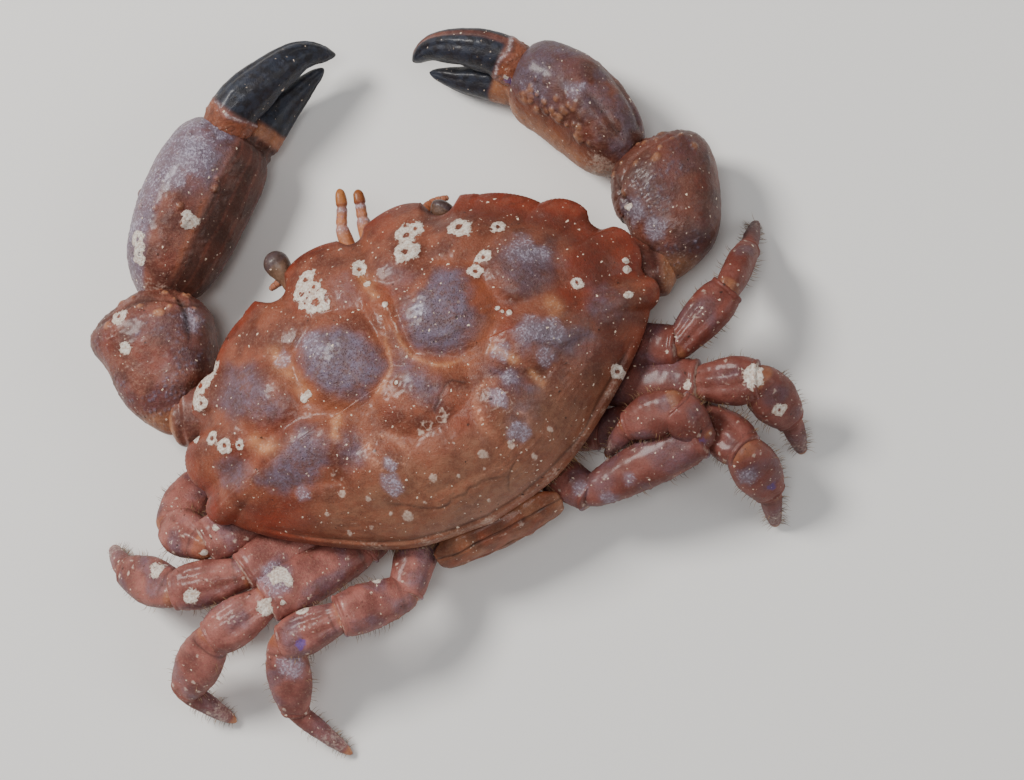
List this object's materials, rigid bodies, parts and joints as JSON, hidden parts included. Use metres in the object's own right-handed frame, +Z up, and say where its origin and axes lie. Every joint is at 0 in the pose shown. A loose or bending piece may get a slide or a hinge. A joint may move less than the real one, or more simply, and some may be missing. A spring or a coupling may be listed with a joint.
{
  "type": "montagus crab",
  "caption": "Life-size still model of a Montagu's crab standing on the floor, broad furrowed red-brown shell, dark-fingered claws held bent in front and walking legs folded.",
  "frame": {"origin": "middle of the bounding box, on the floor the crab stands on", "axes": "-Y the way the crab faces, +X towards its left side, +Z up"},
  "size_m": [0.076, 0.0686, 0.0191],
  "materials": {
    "shell": "satin, finely grained, red-brown with purple-grey domes",
    "claw_shell": "satin, warty, red-brown with a purple-grey sheen",
    "leg_shell": "satin, brick red with pale specks",
    "belly_shell": "satin, orange-tan to cream",
    "finger_horn": "glossy blue-black horn with a brown base",
    "eye": "glossy dark grey eye on a red-brown stalk",
    "feeler": "smooth amber and pink"
  },
  "bodies": {
    "root": {"abdomen": "belly_shell", "antenna_left": "feeler", "antenna_right": "feeler", "antennule_left": "feeler", "antennule_right": "feeler", "carapace": "shell", "claw_left_carpus": "claw_shell", "claw_left_finger": "finger_horn", "claw_left_merus": "claw_shell", "claw_left_palm": "claw_shell", "claw_right_carpus": "claw_shell", "claw_right_finger": "finger_horn", "claw_right_merus": "claw_shell", "claw_right_palm": "claw_shell", "eye_left": "eye", "eye_right": "eye", "leg_1_left_carpus": "leg_shell", "leg_1_left_coxa": "leg_shell", "leg_1_left_dactylus": "leg_shell", "leg_1_left_merus": "leg_shell", "leg_1_left_propodus": "leg_shell", "leg_1_right_carpus": "leg_shell", "leg_1_right_coxa": "leg_shell", "leg_1_right_dactylus": "leg_shell", "leg_1_right_merus": "leg_shell", "leg_1_right_propodus": "leg_shell", "leg_2_left_carpus": "leg_shell", "leg_2_left_coxa": "leg_shell", "leg_2_left_dactylus": "leg_shell", "leg_2_left_merus": "leg_shell", "leg_2_left_propodus": "leg_shell", "leg_2_right_carpus": "leg_shell", "leg_2_right_coxa": "leg_shell", "leg_2_right_dactylus": "leg_shell", "leg_2_right_merus": "leg_shell", "leg_2_right_propodus": "leg_shell", "leg_3_left_carpus": "leg_shell", "leg_3_left_coxa": "leg_shell", "leg_3_left_dactylus": "leg_shell", "leg_3_left_merus": "leg_shell", "leg_3_left_propodus": "leg_shell", "leg_3_right_carpus": "leg_shell", "leg_3_right_coxa": "leg_shell", "leg_3_right_dactylus": "leg_shell", "leg_3_right_merus": "leg_shell", "leg_3_right_propodus": "leg_shell", "leg_4_left_carpus": "leg_shell", "leg_4_left_coxa": "leg_shell", "leg_4_left_dactylus": "leg_shell", "leg_4_left_merus": "leg_shell", "leg_4_left_propodus": "leg_shell", "leg_4_right_carpus": "leg_shell", "leg_4_right_coxa": "leg_shell", "leg_4_right_dactylus": "leg_shell", "leg_4_right_merus": "leg_shell", "leg_4_right_propodus": "leg_shell", "maxilliped_left": "belly_shell", "maxilliped_right": "belly_shell", "thorax": "belly_shell"}
  },
  "joints": []
}
